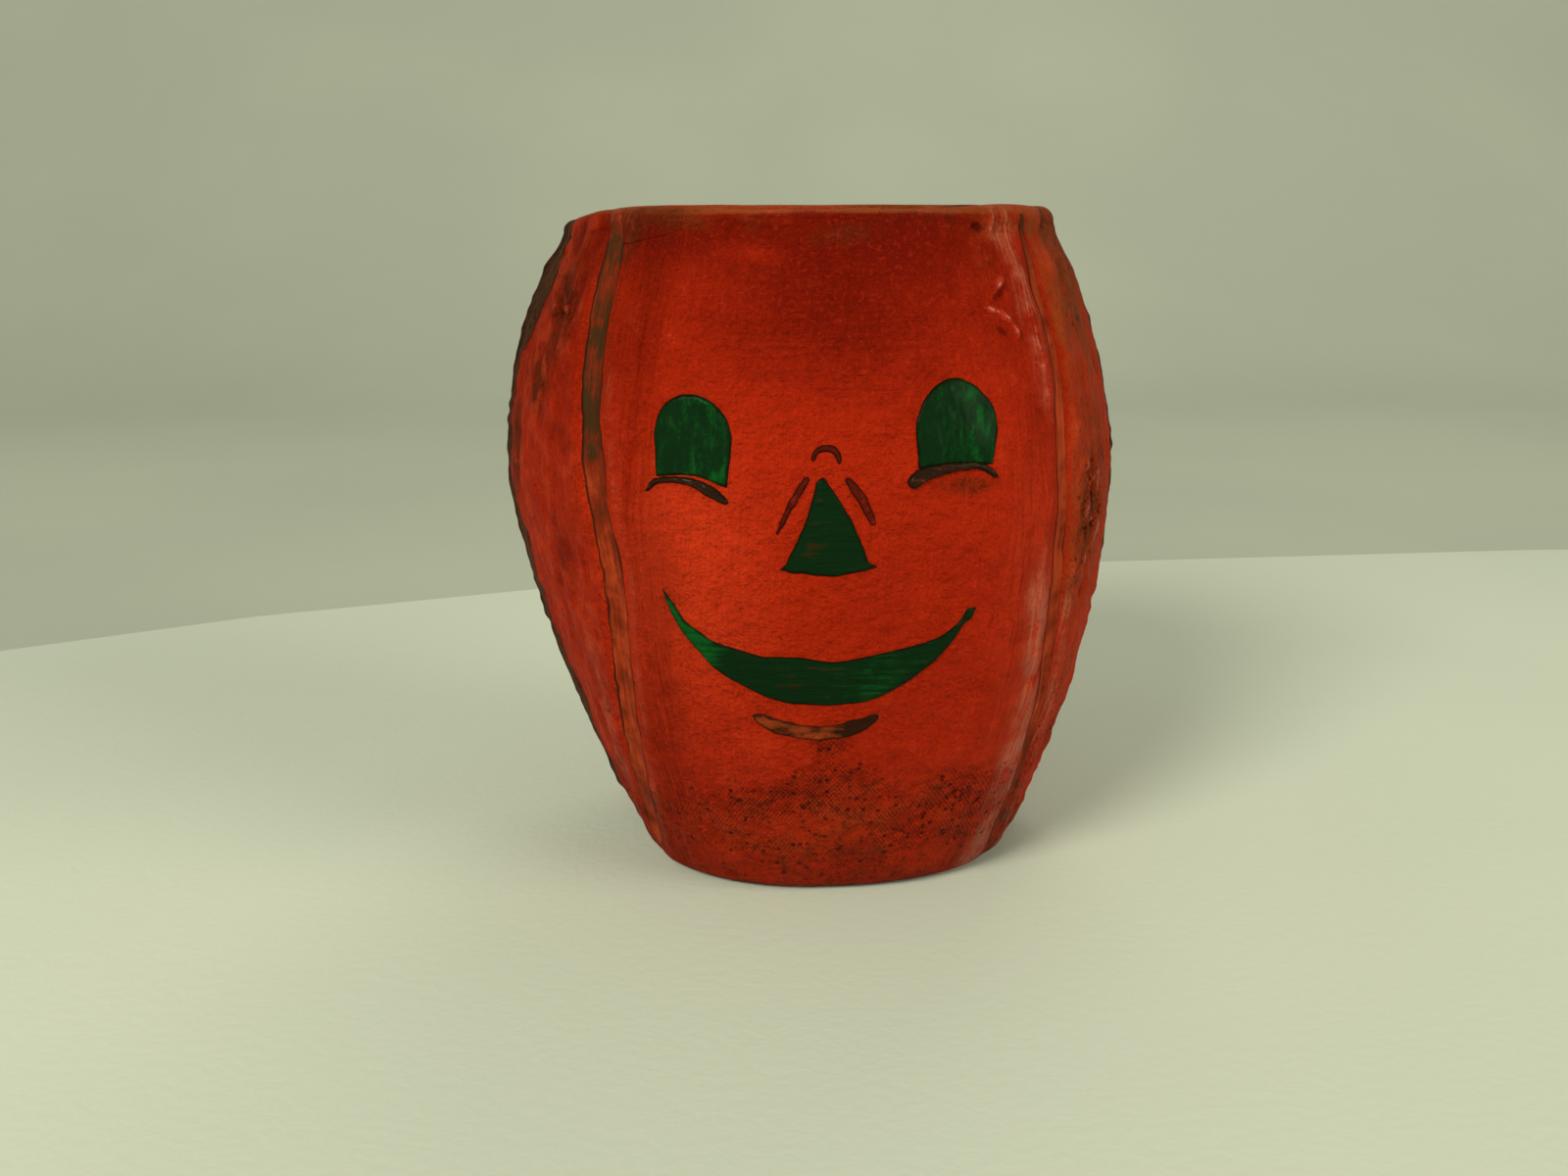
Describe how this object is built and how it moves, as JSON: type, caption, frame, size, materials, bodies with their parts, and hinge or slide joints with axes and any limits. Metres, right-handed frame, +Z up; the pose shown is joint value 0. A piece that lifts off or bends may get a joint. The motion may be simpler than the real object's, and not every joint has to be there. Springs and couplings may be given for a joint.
{
  "type": "jack-o-lantern nut cup",
  "caption": "Small open party cup of painted paper pulp, barrel-shaped like a pumpkin, with a smiling jack-o'-lantern face on its front.",
  "frame": {"origin": "centre of the foot, on the surface that the cup stands on", "axes": "+Z up, out of the open mouth; the face looks along -Y; +X is to the right of someone who looks at the face"},
  "size_m": [0.0626, 0.0585, 0.066],
  "materials": {
    "painted_pulp": "satin, brushed",
    "bare_pulp": "matte",
    "painted_paper": "satin, wrinkled",
    "groove_paint": "matte",
    "green_paint": "satin",
    "brown_paint": "satin"
  },
  "bodies": {
    "root": {"front_half_shell": "painted_pulp", "rear_half_shell": "painted_pulp", "base_disc": "bare_pulp", "rim_strip": "painted_paper", "left_seam_strip": "painted_paper", "right_seam_strip": "painted_paper", "front_left_groove_line": "groove_paint", "front_right_groove_line": "groove_paint", "rear_left_groove_line": "groove_paint", "rear_right_groove_line": "groove_paint", "left_eye": "green_paint", "right_eye": "green_paint", "left_lid": "brown_paint", "right_lid": "brown_paint", "nose": "green_paint", "nose_bridge_arc": "brown_paint", "left_nose_line": "brown_paint", "right_nose_line": "brown_paint", "mouth": "green_paint", "chin_line": "brown_paint"}
  },
  "joints": []
}
